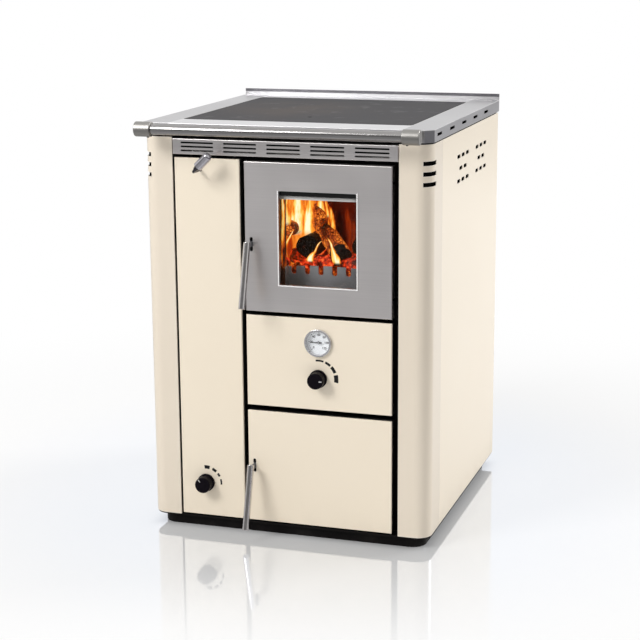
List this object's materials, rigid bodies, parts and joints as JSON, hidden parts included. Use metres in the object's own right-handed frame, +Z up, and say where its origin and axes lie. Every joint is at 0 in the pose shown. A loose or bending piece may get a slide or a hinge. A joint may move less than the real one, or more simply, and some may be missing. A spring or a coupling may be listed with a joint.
{
  "type": "boiler stove",
  "caption": "Free-standing boiler stove with a steel hob, a glazed fire door above an ash door, lift latches, damper lever, air and thermostat knobs, dial thermometer and a towel rail.",
  "frame": {"origin": "on the floor, at the middle of the casing's width and depth", "axes": "+Z up, front looks along -Y, +X to the right of someone facing the front"},
  "size_m": [0.6048, 0.7373, 0.864],
  "materials": {
    "cream_enamel": "gloss",
    "black_enamel": "satin",
    "stainless": "brushed",
    "polished_steel": "polished",
    "hob_steel": "ground",
    "raw_steel": "matt",
    "zinc_steel": "zinc plated",
    "cast_iron": "cast",
    "firebrick": "matt",
    "rope_seal": "woven",
    "stove_glass": "clear",
    "gauge_glass": "clear",
    "dial_white": "matt",
    "needle_black": "matt",
    "knob_black": "gloss",
    "thermostat_plastic": "matt"
  },
  "bodies": {
    "stove": {"left_corner_pillar": "cream_enamel", "right_corner_pillar": "cream_enamel", "left_side_panel": "cream_enamel", "right_side_panel": "cream_enamel", "tall_front_panel": "cream_enamel", "middle_front_panel": "cream_enamel", "plinth": "black_enamel", "base_plate": "black_enamel", "front_plate": "black_enamel", "hinge_brackets": "black_enamel", "latch_keepers": "black_enamel", "vent_strip": "stainless", "hob_frame": "stainless", "rear_upstand": "stainless", "towel_rail": "polished_steel", "rail_sockets": "polished_steel", "thermometer_case": "polished_steel", "hob_plate": "hob_steel", "body_shell": "raw_steel", "water_jacket": "raw_steel", "flue_collar": "raw_steel", "water_sockets": "raw_steel", "grate_plate": "raw_steel", "hob_bearer": "raw_steel", "ash_pan": "raw_steel", "back_panel": "zinc_steel", "panel_spacers": "zinc_steel", "log_guard": "zinc_steel", "grate": "cast_iron", "firebricks": "firebrick", "hob_seal": "rope_seal", "thermometer_glass": "gauge_glass", "thermometer_dial": "dial_white", "thermostat_body": "thermostat_plastic"},
    "fire_door": {"fire_door_panel": "stainless", "fire_door_frame": "raw_steel", "fire_door_glass": "stove_glass", "fire_door_glass_clips": "zinc_steel", "fire_door_gasket": "rope_seal", "fire_door_hinge_ears": "zinc_steel", "fire_latch_bracket": "zinc_steel", "fire_latch_pin": "zinc_steel"},
    "fire_latch": {"fire_latch_lever": "zinc_steel", "fire_door_handle": "polished_steel"},
    "ash_door": {"ash_door_panel": "cream_enamel", "ash_door_liner": "raw_steel", "ash_door_gasket": "rope_seal", "ash_door_hinge_ears": "zinc_steel", "ash_latch_bracket": "zinc_steel", "ash_latch_pin": "zinc_steel"},
    "ash_latch": {"ash_latch_lever": "zinc_steel", "ash_door_handle": "polished_steel"},
    "damper": {"damper_rod": "polished_steel", "damper_grip": "polished_steel", "damper_flap": "raw_steel"},
    "air_control": {"air_knob": "knob_black", "air_valve": "zinc_steel"},
    "thermostat_control": {"thermostat_knob": "knob_black", "thermostat_spindle": "zinc_steel"},
    "needle": {"thermometer_needle": "needle_black"}
  },
  "joints": [
    {"name": "fire_door_swing", "type": "hinge", "parent": "stove", "child": "fire_door", "pos_m": [0.217, -0.293, 0.62675], "axis": [0, 0, 1], "range_deg": [0, 105]},
    {"name": "fire_latch_lift", "type": "hinge", "parent": "fire_door", "child": "fire_latch", "pos_m": [-0.0695, -0.293, 0.612], "axis": [-1, 0, 0], "range_deg": [0, 30]},
    {"name": "ash_door_swing", "type": "hinge", "parent": "stove", "child": "ash_door", "pos_m": [0.217, -0.293, 0.148], "axis": [0, 0, 1], "range_deg": [0, 105]},
    {"name": "ash_latch_lift", "type": "hinge", "parent": "ash_door", "child": "ash_latch", "pos_m": [-0.0695, -0.293, 0.1485], "axis": [-1, 0, 0], "range_deg": [0, 30]},
    {"name": "damper_turn", "type": "hinge", "parent": "stove", "child": "damper", "pos_m": [-0.176, -0.1, 0.758], "axis": [0, 1, 0], "range_deg": [-45, 45]},
    {"name": "air_knob_turn", "type": "hinge", "parent": "stove", "child": "air_control", "pos_m": [-0.1775, -0.29, 0.1015], "axis": [0, 1, 0], "range_deg": [0, 95]},
    {"name": "thermostat_knob_turn", "type": "hinge", "parent": "stove", "child": "thermostat_control", "pos_m": [0.07, -0.3, 0.344], "axis": [0, 1, 0], "range_deg": [-100, 0]},
    {"name": "needle_turn", "type": "hinge", "parent": "stove", "child": "needle", "pos_m": [0.07, -0.304, 0.418], "axis": [0, 1, 0], "range_deg": [-45, 225]}
  ]
}
